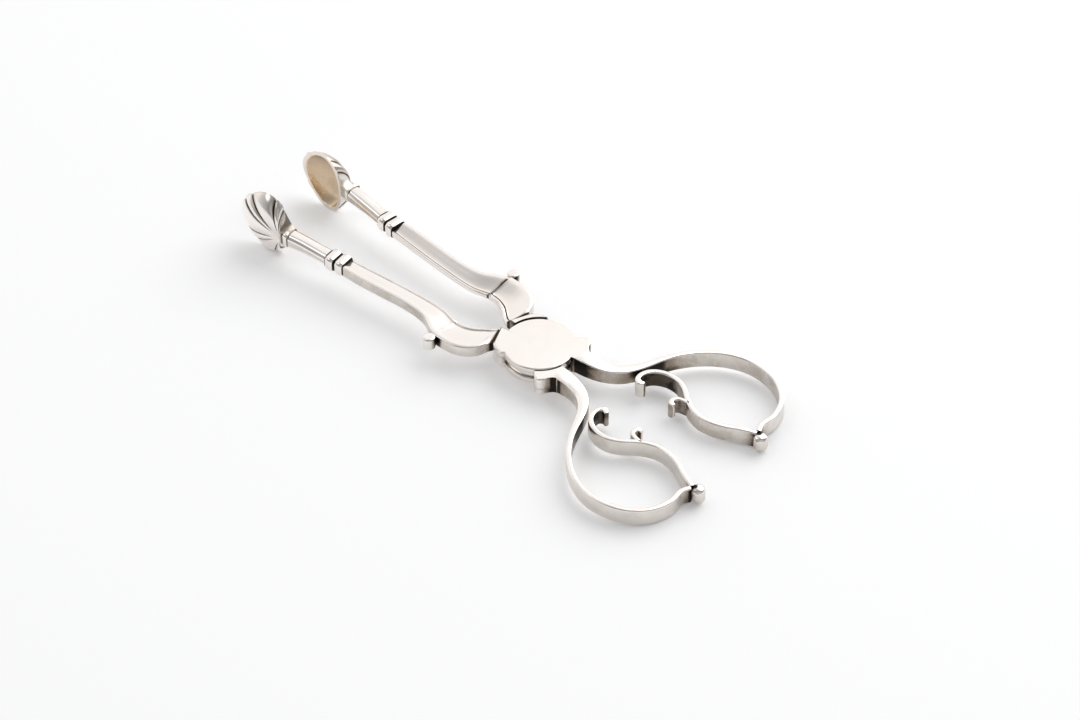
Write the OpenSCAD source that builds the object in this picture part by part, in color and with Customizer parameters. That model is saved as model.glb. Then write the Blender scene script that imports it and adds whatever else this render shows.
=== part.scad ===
// Sugar nippers in cast and wrought silver: a scissor pair on a box joint, with fluted
// shell bowls at the tips and scrolled finger loops at the handles.
// Both halves share one outline. It is drawn with the nippers closed, the arm on the +Y
// side and the handle on the -Y side, swung open to rest, and mirrored for the other half.
// Millimetres. The origin is on the pivot axis, on the joint's underside; +X runs to the
// shells and +Z is up. The halves are alike above and below the joint's middle height, but
// for the necks and shells, which are set a little higher.

/* [Box joint] */
// Radius of the two round plates of the box
disc_r = 7.3; // [6:0.1:9]
// Thickness of each plate
cheek_t = 1.3; // [0.9:0.05:2]
// Thickness of the tongue that turns between the plates
tongue_t = 1.3; // [0.9:0.05:2]
// Clearance on each face of the tongue
layer_gap = 0.05; // [0.02:0.01:0.1]
// Clearance where one half's round edge turns in the other's seat
seat_gap = 0.1; // [0.05:0.01:0.2]
// How far the tongue's edge lies inside the plates' edge
tongue_inset = 0.5; // [0.2:0.05:1]
// Width of the blocks that stand round the plates
block_w = 0.8; // [0.5:0.05:1.4]
// Radius of the rivet's shank
rivet_r = 1.5; // [1:0.05:2]
// Running clearance of the tongue on the rivet
rivet_gap = 0.05; // [0.02:0.01:0.1]
// How much wider the spread ends of the rivet are than its shank
rivet_flare = 0.5; // [0.2:0.05:0.8]

/* [Swing] */
// How far each half stands open from closed at rest, in degrees
rest_swing = 6.8; // [4:0.1:7]
// Gap left between the two shell rims when the nippers close
rim_gap = 0.3; // [0.1:0.05:0.6]

/* [Arms] */
// Distance from the pivot to the collar
arm_reach = 45.3; // [38:0.1:56]
// Distance from the pivot to the ridge between shoulder and shaft
ridge_reach = 18.6; // [16:0.1:22]
// Distance of the ridge's outer end from the middle line, closed
ridge_out_y = 9.2; // [8:0.1:11]
// Distance of the neck's inner side from the middle line, closed
neck_gap = 0.4; // [0.2:0.05:1]
// Height of an arm at its outer edge
arm_h = 2.5; // [2:0.1:3.4]
// Length of the double ring collar
collar_l = 4.8; // [3:0.1:6]
// Number of beads on the collar
collar_beads = 2; // [2:1:3]
// How far the beads stand proud of the arm
bead_rise = 0.4; // [0.15:0.05:0.6]
// Length of the neck between the collar and the cuff
neck_l = 9.3; // [6:0.1:12]
// Width of the neck at the collar
neck_w = 3.3; // [2.8:0.1:4.6]
// Length of the cuff that joins the neck to the shell
cuff_l = 1.9; // [1.6:0.1:4]
// Radius of the rolled end at the root of the shaft
roll_r = 1.3; // [0.8:0.05:1.8]

/* [Shells] */
// Length of a shell's rim along the arm
shell_l = 12.6; // [11:0.1:17]
// Height of a shell's rim
shell_h = 14.4; // [11:0.1:17]
// How far the shell's back stands out from its rim
shell_depth = 3.1; // [2.6:0.1:5]
// Wall of the shell at its rim
shell_wall = 0.75; // [0.5:0.05:1]
// Number of flutes, narrow and wide by turns, the first and last narrow
flutes = 7; // [5:2:9]
// Height of the flutes over the grooves
flute_rise = 0.6; // [0.2:0.05:0.9]
// A narrow flute's share of a wide one
narrow_share = 0.41; // [0.3:0.01:1]

/* [Handles] */
// Distance from the pivot to the knob behind the finger loop
handle_reach = 49.3; // [42:0.1:60]
// Distance from the middle line to the widest point of the loop, closed
loop_out = 19.9; // [16:0.1:24]
// Thickness of the loop's strap
strap_t = 1.1; // [0.8:0.05:1.6]
// Height of the loop's strap
strap_h = 3.8; // [3:0.1:4.6]
// Width of the stem where it leaves the joint
stem_w = 3.5; // [2.6:0.1:4.4]
// Height of the stem at its slimmest
stem_h = 3.3; // [2.6:0.1:4]
// Radius of the knob
knob_r = 1.5; // [1.1:0.05:2.2]
// How far the knob stands above and below the strap
knob_rise = 0.1; // [0.05:0.05:0.4]

/* [Hidden] */
$fn = 96;
silver = [0.80, 0.79, 0.77];

// Box joint, worked out
joint_h = 2 * cheek_t + tongue_t + 2 * layer_gap;
mid_z = joint_h / 2;
tongue_r = disc_r - tongue_inset;
block_r = disc_r + block_w;
reach = 3 * block_r;
// Angles of the front and back blocks from the middle line, with the nippers closed
front_block = [0.8, 54];
back_block = [4.5, 49.5];

// Shell, worked out
half_l = shell_l / 2;
half_h = shell_h / 2;
collar_end = arm_reach + collar_l;
neck_end = collar_end + neck_l;
cuff_end = neck_end + cuff_l;
hub_in = 0.7;
shell_x = cuff_end + half_l - 0.3;
hub = [hub_in - half_l, 0.94 * shell_depth];
hollow_hub = hub + [0.9 * shell_wall, -shell_wall];
// Where the lines from hub to rim are drawn out to
bulge_out = 1.13 * shell_depth;
bulge_pull = 0.72;
// How far the flutes still stand at the rim
rim_rise = 0.45 * flute_rise;
// The shell's middle stands this much above the joint's, and the neck rises to it
shell_lift = 0.4;
// Middle of the arm's width from the collar on
neck_y = neck_gap + neck_w / 2;
// Part of the rim's turn, in degrees, that the flutes cover, and a wide flute's part of it
flute_turn = 280;
flute_wide = 2 * flute_turn / (flutes - 1 + narrow_share * (flutes + 1));

// Smooth curve through a list of points of any dimension
function beyond(p, i) =
  i < 0 ? 2 * p[0] - p[1] :
  i >= len(p) ? 2 * p[len(p) - 1] - p[len(p) - 2] : p[i];
function between(a, b, c, d, t) =
  0.5 * (2 * b + (c - a) * t + (2 * a - 5 * b + 4 * c - d) * t * t
    + (3 * b - a - 3 * c + d) * t * t * t);
function curve(p, n) = concat(
  [for (i = [0 : len(p) - 2], k = [0 : n - 1])
    between(beyond(p, i - 1), p[i], p[i + 1], beyond(p, i + 2), k / n)],
  [p[len(p) - 1]]);
function part_of(list, a, b) = [for (i = [a : b]) list[i]];

// Closed solid through rings of equally many points
module loft(rings) {
  m = len(rings[0]);
  n = len(rings);
  polyhedron(
    points = [for (r = rings) each r],
    faces = concat(
      [[for (j = [0 : m - 1]) j]],
      [for (i = [0 : n - 2], j = [0 : m - 1], half = [0, 1])
        let (a = i * m + j, b = i * m + (j + 1) % m)
        half == 0 ? [a, a + m, b + m] : [a, b + m, b]],
      [[for (j = [m - 1 : -1 : 0]) (n - 1) * m + j]]),
    convexity = 6);
}

// Rings of a bar with chamfered edges: each station is [x, y, width, height], and where
// the bar leaves the middle height also its lift
function bar_ring(s, side, edge) =
  let (w = s[2] / 2, h = s[3] / 2, e = min(edge, 0.45 * s[2]), lift = len(s) > 4 ? s[4] : 0)
  [for (q = [[w, h - e], [w - e, h], [e - w, h], [-w, h - e],
      [-w, e - h], [e - w, -h], [w - e, -h], [w, e - h]])
    [s[0] + side[0] * q[0], s[1] + side[1] * q[0], mid_z + lift + q[1]]];
function side_at(p, i) =
  let (a = beyond(p, i - 1), b = beyond(p, i + 1), d = [b[0] - a[0], b[1] - a[1]])
  [-d[1], d[0]] / norm(d);
function bar_rings(p, edge) = [for (i = [0 : len(p) - 1]) bar_ring(p[i], side_at(p, i), edge)];

// Rings of an arm: each station is [outer x, outer y, inner x, inner y, height, scoop],
// with a thin inner edge, a broad round outer edge and a scoop between them
scoop_form = [[0, 0.34], [0.05, 0.42], [0.2, 0.42], [0.4, 0.52], [0.56, 0.74],
  [0.72, 0.95], [0.86, 1], [0.97, 0.96], [1, 0.84]];
function scoop_top(scoop) = [for (q = scoop_form) [q[0], 1 - scoop * (1 - q[1])]];
function arm_ring(s) =
  let (top = scoop_top(s[5]), k = len(top) - 1,
    all = concat([for (j = [0 : k]) [top[j][0], -top[j][1]]], [for (j = [k : -1 : 0]) top[j]]))
  [for (q = all) [s[2] + (s[0] - s[2]) * q[0], s[3] + (s[1] - s[3]) * q[0],
    mid_z + q[1] * s[4] / 2]];

// Slice of a disc between two angles
module sector(r, a, b) {
  intersection() {
    circle(r);
    polygon(concat([[0, 0]], [for (t = [a : (b - a) / 4 : b]) reach * [cos(t), sin(t)]]));
  }
}

// One half at rest: the box half as drawn, the tongue half mirrored
module half(tongue) {
  mirror([0, tongue ? 1 : 0, 0]) rotate([0, 0, rest_swing]) children();
}

// The front block is bounded by this line, where the shoulder scroll is soldered on
groove_in = [disc_r + 1.7, 0.2];
groove_out = [disc_r + 0.2, 5.1];

module front_outline() {
  union() {
    sector(block_r, front_block[0], front_block[1]);
    polygon([[disc_r * cos(front_block[0]), disc_r * sin(front_block[0])],
      groove_in, groove_out,
      0.98 * disc_r * [cos(front_block[1] - 2), sin(front_block[1] - 2)]]);
  }
}

// Back block, with the pointed spur beside the stem and a hollow between them
module back_outline() {
  union() {
    sector(block_r, 180 + back_block[0], 180 + back_block[1]);
    translate([-disc_r, -disc_r]) polygon([
      [disc_r, disc_r] - block_r * [cos(back_block[1] - 1), sin(back_block[1] - 1)],
      [0.9, 0.45],
      [-0.2, 0.35],
      [-0.75, 1.1],
      [-1.1, 1.95],
      [-1.5, 2.75],
      [-2.4, 3.4],
      [-1.2, 4.7],
      [disc_r, disc_r] - 0.9 * disc_r * [cos(26), sin(26)]]);
  }
}

module spread_rivet(gap) {
  rotate_extrude()
    polygon([[0, 0], [rivet_r + rivet_flare, 0], [rivet_r + gap, rivet_flare],
      [rivet_r + gap, joint_h - rivet_flare], [rivet_r + rivet_flare, joint_h], [0, joint_h]]);
}

module box_joint() {
  color(silver)
  half(false)
  difference() {
    union() {
      cylinder(r = disc_r, h = cheek_t);
      translate([0, 0, joint_h - cheek_t]) cylinder(r = disc_r, h = cheek_t);
      linear_extrude(joint_h) difference() {
        union() {
          front_outline();
          back_outline();
        }
        circle(tongue_r + seat_gap);
      }
    }
    spread_rivet(0);
  }
}

module tongue_joint() {
  color(silver)
  half(true)
  difference() {
    union() {
      translate([0, 0, cheek_t + layer_gap]) linear_extrude(tongue_t) {
        circle(tongue_r);
        front_outline();
        back_outline();
      }
      linear_extrude(joint_h) difference() {
        union() {
          front_outline();
          back_outline();
        }
        circle(disc_r + seat_gap);
      }
    }
    translate([0, 0, -1]) cylinder(r = rivet_r + rivet_gap, h = joint_h + 2);
  }
}

module pivot_rivet() {
  color(silver) spread_rivet(0);
}

// The ridge is the line where the shoulder scroll meets the shaft
ridge_out = [ridge_reach, ridge_out_y];
ridge_in = [ridge_reach - 0.4, 0.29 * ridge_out_y];

// Shoulder: C-scroll from the groove out to the ridge. Its stations are placed by their
// shares of the way from the groove to the ridge and of the way from the middle line out.
shoulder_shares = [
  [0.113, 0.543, 0.076, 0.022, 0.85, 0.4],
  [0.158, 0.641, 0.141, 0.027, 1, 0.8],
  [0.222, 0.783, 0.228, 0.049, 1, 1],
  [0.339, 0.913, 0.359, 0.125, 1, 1],
  [0.493, 1.0, 0.533, 0.228, 1, 1],
  [0.692, 1.033, 0.739, 0.288, 1, 1],
  [0.937, 1.011, 0.924, 0.293, 1, 0.95]];
module shoulder_form() {
  rise = arm_h + 0.2;
  way_out = ridge_out[0] - groove_out[0];
  way_in = ridge_in[0] - groove_in[0];
  foot = 0.79;
  loft([for (s = curve(concat(
    [[groove_in[0] + foot * (groove_out[0] - groove_in[0]),
      groove_in[1] + foot * (groove_out[1] - groove_in[1]),
      groove_in[0], groove_in[1], 0.63 * rise, 0.1]],
    [for (q = shoulder_shares)
      [groove_out[0] + q[0] * way_out, q[1] * ridge_out_y,
        groove_in[0] + q[2] * way_in, q[3] * ridge_out_y, q[4] * rise, q[5]]],
    [[ridge_out[0], ridge_out[1], ridge_in[0], ridge_in[1], rise, 0.5]]), 3)) arm_ring(s)]);
}
module shoulder_scroll(tongue) {
  color(silver) half(tongue) shoulder_form();
}

// Shaft: long S-scroll from the ridge to the collar
shaft_spans = 3;
shaft_shares = [
  [0.075, 0.88, 0.05, 0.228, 1],
  [0.181, 0.663, 0.137, 0.147, 0.95],
  [0.294, 0.554, 0.277, 0.098, 0.9],
  [0.46, 0.495, 0.446, 0.071, 0.85],
  [0.642, 0.478, 0.635, 0.049, 0.85],
  [0.83, 0.457, 0.823, 0.038, 0.8]];
module shaft_form() {
  way_out = arm_reach - ridge_out[0];
  way_in = arm_reach - ridge_in[0];
  loft([for (s = curve(concat(
    [[ridge_out[0], ridge_out[1], ridge_in[0], ridge_in[1], arm_h, 1]],
    [for (q = shaft_shares)
      [ridge_out[0] + q[0] * way_out, q[1] * ridge_out_y,
        ridge_in[0] + q[2] * way_in, q[3] * ridge_out_y, arm_h, q[4]]],
    [[arm_reach, neck_y + 0.53 * neck_w, arm_reach, neck_y - 0.53 * neck_w, arm_h, 0.7]]),
    shaft_spans)) arm_ring(s)]);
}
module arm_shaft(tongue) {
  color(silver) half(tongue) shaft_form();
}

// Rolled end that finishes the shaft's outer edge beside the shoulder
module shaft_roll(tongue) {
  h = arm_h / 2 + 0.15;
  e = 0.32 * roll_r;
  color(silver) half(tongue) difference() {
    translate([ridge_out[0] + 0.55 * roll_r, ridge_out[1] + 0.75 * roll_r, mid_z])
      rotate_extrude()
        polygon([[0, -h], [roll_r - e, -h], [roll_r, e - h], [roll_r, h - e], [roll_r - e, h], [0, h]]);
    shaft_form();
    shoulder_form();
    // Relief over the joint between the two
    translate([ridge_out[0], ridge_out[1], mid_z])
      cube([0.1 * roll_r, 0.5 * roll_r, 2 * arm_h], center = true);
  }
}

// Collar of rounded beads with grooves between them
module collar(tongue) {
  steps = 6 * collar_beads;
  color(silver) half(tongue) loft([for (k = [0 : steps])
    let (rise = 2 * bead_rise * sqrt(abs(sin(180 * k * collar_beads / steps))))
    bar_ring([arm_reach + collar_l * k / steps, neck_y,
      neck_w + rise, arm_h + rise, 0.2 * shell_lift], [0, 1], 0.5)]);
}

// Neck with a slight waist, rising to the height of the shell's middle
module neck(tongue) {
  color(silver) half(tongue) loft([for (s = curve([
    [collar_end, neck_y, neck_w, arm_h + 0.2, 0.4 * shell_lift],
    [collar_end + 0.3 * neck_l, neck_y - 0.05, neck_w - 0.1, arm_h + 0.25, 0.7 * shell_lift],
    [collar_end + 0.7 * neck_l, neck_y - 0.1, neck_w - 0.1, arm_h + 0.55, shell_lift],
    [neck_end, neck_y - 0.05, neck_w, arm_h + 0.8, shell_lift]], 4)) bar_ring(s, [0, 1], 0.7)]);
}

// Cuff with a groove at each end, bedded on the back of the shell
module cuff(tongue) {
  w = neck_w - 0.1;
  h = arm_h + 0.8;
  color(silver) half(tongue) difference() {
    loft([for (s = [
      [neck_end, neck_y, w - 0.6, h - 0.7],
      [neck_end + 0.25, neck_y, w - 0.5, h - 0.6],
      [neck_end + 0.45, neck_y, w + 0.1, h],
      [cuff_end - 0.65, neck_y, w + 0.1, h + 0.2],
      [cuff_end - 0.45, neck_y, w - 0.5, h - 0.5],
      [cuff_end, neck_y, w - 0.4, h - 0.3],
      [cuff_end + 0.6, neck_y - 0.25, w - 0.6, h - 0.1],
      [cuff_end + 1.4, neck_y - 0.6, w - 1.2, h - 0.4]])
      bar_ring(concat(s, [shell_lift]), [0, 1], 0.6)]);
    shell_body();
  }
}

// A shell is drawn about the middle of its rim: u runs to the tip, v outwards and w up.
// Lines run from the hub to the rim, bulging outwards, with the flutes between them.
function flute_edge(i) =
  flute_wide * (floor(i / 2) + narrow_share * ceil(i / 2)) - flute_turn / 2;
function shell_angle(k, per) =
  let (i = floor(k / per), q = k / per - i)
  i < flutes ? flute_edge(i) * (1 - q) + flute_edge(i + 1) * q :
  flute_turn / 2 + (360 - flute_turn) * q;
function lobe(k, per) = k > flutes * per ? 0 : abs(sin(180 * k / per));
function rim(t, l, h) = (1 + 0.03 * cos(3 * t)) * [l * cos(t), h * sin(t) * (1 - 0.1 * cos(t))];
function bulge(s, t, l, h, top, out) =
  let (r = rim(t, l, h), q = (1 - s) * (1 - s), c = 2 * s * (1 - s), pull = bulge_pull)
  [q * top[0] + c * (top[0] * (1 - pull) + r[0] * pull) + s * s * r[0],
    q * top[1] + c * out, (c * pull + s * s) * r[1] - q * shell_lift];
function flute_height(s) =
  min(1, 2.2 * max(0, s - 0.08)) * (flute_rise - (flute_rise - rim_rise) * pow(s, 3));
function placed(p) = [shell_x + p[0], rim_gap / 2 + p[1], mid_z + shell_lift + p[2]];
function outer_row(s, per) = [for (k = [0 : (flutes + 1) * per - 1])
  let (t = shell_angle(k, per),
    p = bulge(s, t, half_l - rim_rise, half_h - rim_rise, hub, bulge_out))
  placed(p + flute_height(s) * lobe(k, per) * p / norm(p))];
function inner_row(s, per) = [for (k = [0 : (flutes + 1) * per - 1])
  let (t = shell_angle(k, per), in = rim_rise + shell_wall)
  placed(bulge(s, t, half_l - in, half_h - in, hollow_hub, bulge_out - 1.2 * shell_wall))];
function fan(first, m, tip, flip) = [for (j = [0 : m - 1])
  flip ? [tip, first + (j + 1) % m, first + j] : [tip, first + j, first + (j + 1) % m]];
function band(a, b, m, flip) = [for (j = [0 : m - 1], half = [0, 1])
  let (k = (j + 1) % m, tri = half == 0 ? [a + j, b + j, b + k] : [a + j, b + k, a + k])
  flip ? [tri[0], tri[2], tri[1]] : tri];

outer_steps = [0.14, 0.3, 0.46, 0.62, 0.77, 0.9, 1];
inner_steps = [1, 0.8, 0.55, 0.28];
per_flute = 6;

// The whole shell as a solid lump, to bed the cuff on
module shell_body() {
  m = (flutes + 1) * per_flute;
  n = len(outer_steps);
  polyhedron(
    points = concat([placed([hub[0], hub[1], -shell_lift])],
      [for (s = outer_steps) each outer_row(s, per_flute)], [placed([0, 0, 0])]),
    faces = concat(fan(1, m, 0, false),
      [for (i = [0 : n - 2]) each band(1 + i * m, 1 + (i + 1) * m, m, false)],
      fan(1 + (n - 1) * m, m, 1 + n * m, true)),
    convexity = 6);
}

module shell(tongue) {
  m = (flutes + 1) * per_flute;
  n = len(outer_steps);
  n2 = len(inner_steps);
  color(silver) half(tongue) polyhedron(
    points = concat([placed([hub[0], hub[1], -shell_lift])],
      [for (s = outer_steps) each outer_row(s, per_flute)],
      [for (s = inner_steps) each inner_row(s, per_flute)],
      [placed([hollow_hub[0], hollow_hub[1], -shell_lift])]),
    faces = concat(fan(1, m, 0, false),
      [for (i = [0 : n + n2 - 2]) each band(1 + i * m, 1 + (i + 1) * m, m, false)],
      fan(1 + (n + n2 - 1) * m, m, 1 + (n + n2) * m, true)),
    convexity = 6);
}

// Handle points are [distance behind the pivot, distance out, width, height], closed
bk = handle_reach / 48.4;
ow = loop_out / 19.6;
function behind(p) = [for (s = p) [-bk * s[0], -ow * s[1], s[2], s[3]]];
handle_spans = 4;
stem_root_h = joint_h - 2 * layer_gap;
stem_points = [[7.2, 2.5, 1.1 * stem_w, stem_root_h], [9.6, 2.2, 0.94 * stem_w, stem_root_h],
  [12.2, 2.15, 0.85 * stem_w, 1.1 * stem_h], [14.8, 2.65, 0.75 * stem_w, stem_h],
  [16.9, 3.85, 0.66 * stem_w, stem_h], [18.5, 5.5, 0.57 * stem_w, stem_h],
  [19.9, 7.6, 1.55 * strap_t, 1.03 * stem_h]];
loop_points = [[21.3, 10.0, 1.27 * strap_t, 0.95 * strap_h], [23.3, 12.9, 1.09 * strap_t, strap_h],
  [26.3, 15.9, strap_t, strap_h], [30.3, 18.4, strap_t, strap_h], [34.8, 19.6, strap_t, strap_h],
  [39.2, 19.2, strap_t, strap_h], [43.4, 17.3, strap_t, strap_h], [46.4, 13.9, strap_t, strap_h],
  [47.4, 9.7, strap_t, strap_h], [46.8, 6.4, strap_t, strap_h], [47.3, 4.4, strap_t, strap_h]];
outer_line = curve(behind(concat(stem_points, loop_points)), handle_spans);
stem_end = len(stem_points) * handle_spans;
strap_edge = 0.27 * strap_t;
outer_rings = bar_rings(outer_line, strap_edge);

module stem_form() {
  difference() {
    loft(part_of(outer_rings, 0, stem_end));
    cylinder(r = block_r, h = joint_h);
    linear_extrude(joint_h) back_outline();
  }
}
module handle_stem(tongue) {
  color(silver) half(tongue) stem_form();
}

module finger_loop_form() {
  difference() {
    loft(part_of(outer_rings, stem_end, len(outer_rings) - 1));
    knob_form();
  }
}
module finger_loop(tongue) {
  color(silver) half(tongue) finger_loop_form();
}

// Knob: an upright barrel with round ends behind the loop
knob_at = [-handle_reach, -3.4 * ow];
module knob_form() {
  h = strap_h / 2 + knob_rise;
  e = 0.4 * knob_r;
  translate([knob_at[0], knob_at[1], mid_z]) rotate_extrude()
    polygon(concat([[0, -h]],
      [for (t = [-90 : 18 : 0]) [knob_r - e + e * cos(t), e - h + e * sin(t)]],
      [for (t = [0 : 18 : 90]) [knob_r - e + e * cos(t), h - e + e * sin(t)]], [[0, h]]));
}
module loop_knob(tongue) {
  color(silver) half(tongue) knob_form();
}

// Inner side of the finger loop: runs forward from the knob and curls against the stem
inner_points = [[47.3, 3.8, strap_t, strap_h], [45.7, 3.4, strap_t, strap_h],
  [43.8, 2.8, strap_t, strap_h], [41.4, 1.9, strap_t, strap_h], [38.9, 1.35, strap_t, strap_h],
  [36.2, 1.4, strap_t, strap_h], [33.7, 2.3, strap_t, strap_h], [31.6, 3.9, strap_t, strap_h],
  [29.7, 5.8, strap_t, strap_h], [27.6, 7.1, strap_t, strap_h], [25.3, 7.5, strap_t, strap_h],
  [23.2, 7.1, strap_t, strap_h], [21.6, 6.1, strap_t, strap_h], [20.75, 4.7, strap_t, strap_h],
  [20.7, 3.3, strap_t, strap_h], [21.5, 2.5, 1.18 * strap_t, strap_h],
  [22.4, 2.8, 0.82 * strap_t, 0.95 * strap_h]];
module inner_scroll_form() {
  difference() {
    loft(bar_rings(curve(behind(inner_points), 3), strap_edge));
    knob_form();
    stem_form();
    finger_loop_form();
  }
}
module inner_scroll(tongue) {
  color(silver) half(tongue) inner_scroll_form();
}

// Small scroll that leaves the inner strap towards the other handle
thumb_points = [[32.5, 3.2, 0.73 * strap_t, strap_h], [31.2, 3.2, 0.82 * strap_t, strap_h],
  [30.1, 3.0, 0.82 * strap_t, strap_h], [29.4, 2.3, 0.91 * strap_t, strap_h],
  [29.5, 1.4, strap_t, strap_h], [30.2, 1.1, 0.91 * strap_t, 0.95 * strap_h]];
module thumb_scroll(tongue) {
  color(silver) half(tongue) difference() {
    loft(bar_rings(curve(behind(thumb_points), 3), 0.85 * strap_edge));
    inner_scroll_form();
  }
}

box_joint();
tongue_joint();
pivot_rivet();
shoulder_scroll(false);  // box_shoulder_scroll
shoulder_scroll(true);  // tongue_shoulder_scroll
arm_shaft(false);  // box_arm_shaft
arm_shaft(true);  // tongue_arm_shaft
shaft_roll(false);  // box_shaft_roll
shaft_roll(true);  // tongue_shaft_roll
collar(false);  // box_collar
collar(true);  // tongue_collar
neck(false);  // box_neck
neck(true);  // tongue_neck
cuff(false);  // box_cuff
cuff(true);  // tongue_cuff
shell(false);  // box_shell
shell(true);  // tongue_shell
handle_stem(false);  // box_handle_stem
handle_stem(true);  // tongue_handle_stem
finger_loop(false);  // box_finger_loop
finger_loop(true);  // tongue_finger_loop
inner_scroll(false);  // box_inner_scroll
inner_scroll(true);  // tongue_inner_scroll
thumb_scroll(false);  // box_thumb_scroll
thumb_scroll(true);  // tongue_thumb_scroll
loop_knob(false);  // box_loop_knob
loop_knob(true);  // tongue_loop_knob
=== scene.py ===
import math

import bmesh
import bpy
from mathutils import Matrix, Vector


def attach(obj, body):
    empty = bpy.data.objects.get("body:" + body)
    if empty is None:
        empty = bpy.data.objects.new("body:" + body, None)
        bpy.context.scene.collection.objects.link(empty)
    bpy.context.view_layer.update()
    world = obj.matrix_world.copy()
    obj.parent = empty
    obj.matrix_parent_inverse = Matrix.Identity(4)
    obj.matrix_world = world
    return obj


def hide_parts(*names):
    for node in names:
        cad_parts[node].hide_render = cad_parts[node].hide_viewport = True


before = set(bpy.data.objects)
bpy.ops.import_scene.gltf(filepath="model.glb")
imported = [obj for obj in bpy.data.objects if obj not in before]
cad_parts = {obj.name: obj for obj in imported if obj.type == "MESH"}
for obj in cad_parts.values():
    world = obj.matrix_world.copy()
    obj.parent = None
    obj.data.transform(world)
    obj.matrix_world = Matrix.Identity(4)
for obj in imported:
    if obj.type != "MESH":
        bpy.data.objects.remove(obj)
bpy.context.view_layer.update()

MM = 0.001

# Box joint. Sizes are in millimetres and angles in degrees, as in the frame.
DISC_R = 7.3
CHEEK_T = 1.3
TONGUE_T = 1.3
LAYER_GAP = 0.05
SEAT_GAP = 0.1
TONGUE_R = DISC_R - 0.5
BLOCK_R = DISC_R + 0.8
RIVET_R = 1.5
RIVET_FLARE = 0.5
RIVET_GAP = 0.05
JOINT_H = 2 * CHEEK_T + TONGUE_T + 2 * LAYER_GAP
MID_Z = JOINT_H / 2
# How far each half stands open from closed
REST_SWING = 6.8

# Arms
ARM_REACH = 45.3
ARM_H = 2.5
RIDGE_REACH = 18.6
RIDGE_OUT_Y = 9.2
ROLL_R = 1.3
COLLAR_L = 4.8
COLLAR_BEADS = 2
BEAD_RISE = 0.4
NECK_GAP = 0.4
NECK_L = 9.3
NECK_W = 3.3
CUFF_L = 1.9
COLLAR_END = ARM_REACH + COLLAR_L
NECK_END = COLLAR_END + NECK_L
CUFF_END = NECK_END + CUFF_L
NECK_Y = NECK_GAP + NECK_W / 2
# The shoulder runs from the groove beside the joint to the ridge, where the shaft begins
GROOVE_IN = (DISC_R + 1.7, 0.2)
GROOVE_OUT = (DISC_R + 0.2, 5.1)
RIDGE_OUT = (RIDGE_REACH, RIDGE_OUT_Y)
RIDGE_IN = (RIDGE_REACH - 0.4, 0.29 * RIDGE_OUT_Y)

# Shells
SHELL_L = 12.6
SHELL_H = 14.4
SHELL_DEPTH = 3.1
SHELL_WALL = 0.75
SHELL_LIFT = 0.4
RIM_GAP = 0.3
FLUTES = 7
FLUTE_RISE = 0.6
RIM_RISE = 0.45 * FLUTE_RISE
# A narrow flute's share of a wide one, and the part of the rim's turn that the flutes cover
NARROW_SHARE = 0.41
FLUTE_TURN = 280.0
FLUTE_WIDE = 2 * FLUTE_TURN / (FLUTES - 1 + NARROW_SHARE * (FLUTES + 1))
HALF_L = SHELL_L / 2
HALF_H = SHELL_H / 2
SHELL_X = CUFF_END + HALF_L - 0.3
HUB = (0.7 - HALF_L, 0.94 * SHELL_DEPTH)
HOLLOW_HUB = (HUB[0] + 0.9 * SHELL_WALL, HUB[1] - SHELL_WALL)
BULGE_OUT = 1.13 * SHELL_DEPTH
BULGE_PULL = 0.72

# Handles
HANDLE_REACH = 49.3
LOOP_OUT = 19.9
STRAP_T = 1.1
STRAP_H = 3.8
STRAP_EDGE = 0.27
STEM_W = 3.5
STEM_H = 3.3
KNOB_R = 1.5
KNOB_RISE = 0.1
# Scales of the handle's points along and across
SCALE_BACK = HANDLE_REACH / 48.4
SCALE_OUT = LOOP_OUT / 19.6
KNOB_AT = (-HANDLE_REACH, -3.4 * SCALE_OUT)

# How far the shells and straps stay inside the frame's own outline
INSIDE = 0.03
# Edges between faces that turn by more than this stay sharp
SHARP = 42
# Steps round a corner of a bar's section
CORNER_STEPS = 4


def sin(a):
    return math.sin(math.radians(a))


def cos(a):
    return math.cos(math.radians(a))


def clamp(value):
    return min(1.0, max(0.0, value))


def hump(x, at, width):
    return math.exp(-((x - at) / width) ** 2)


# Curves and meshes
def beyond(p, i):
    """Point i of a line, or where the line would go on before its start or past its end."""
    if i < 0:
        return [2 * a - b for a, b in zip(p[0], p[1])]
    if i >= len(p):
        return [2 * a - b for a, b in zip(p[-1], p[-2])]
    return list(p[i])


def curve(p, n):
    """Smooth line through points of any dimension, n steps to a span."""
    out = []
    for i in range(len(p) - 1):
        a, b, c, d = beyond(p, i - 1), p[i], p[i + 1], beyond(p, i + 2)
        for k in range(n):
            t = k / n
            out.append([0.5 * (2 * b[j] + (c[j] - a[j]) * t
                        + (2 * a[j] - 5 * b[j] + 4 * c[j] - d[j]) * t * t
                        + (3 * b[j] - a[j] - 3 * c[j] + d[j]) * t ** 3)
                        for j in range(len(b))])
    out.append(list(p[-1]))
    return out


def side_at(p, i):
    """Unit vector to the left of a line at its point i."""
    a, b = beyond(p, i - 1), beyond(p, i + 1)
    dx, dy = b[0] - a[0], b[1] - a[1]
    length = math.hypot(dx, dy)
    return (-dy / length, dx / length)


def rounded(w, h, edge, steps):
    """Outline of a bar's section: half width w, half height h, corners rounded."""
    e = min(edge, 0.9 * w, 0.9 * h)
    out = []
    for cx, cy, start in ((w - e, h - e, 0), (e - w, h - e, 90),
                          (e - w, e - h, 180), (w - e, e - h, 270)):
        for k in range(steps + 1):
            t = start + 90 * k / steps
            out.append((cx + e * cos(t), cy + e * sin(t)))
    return out


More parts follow.
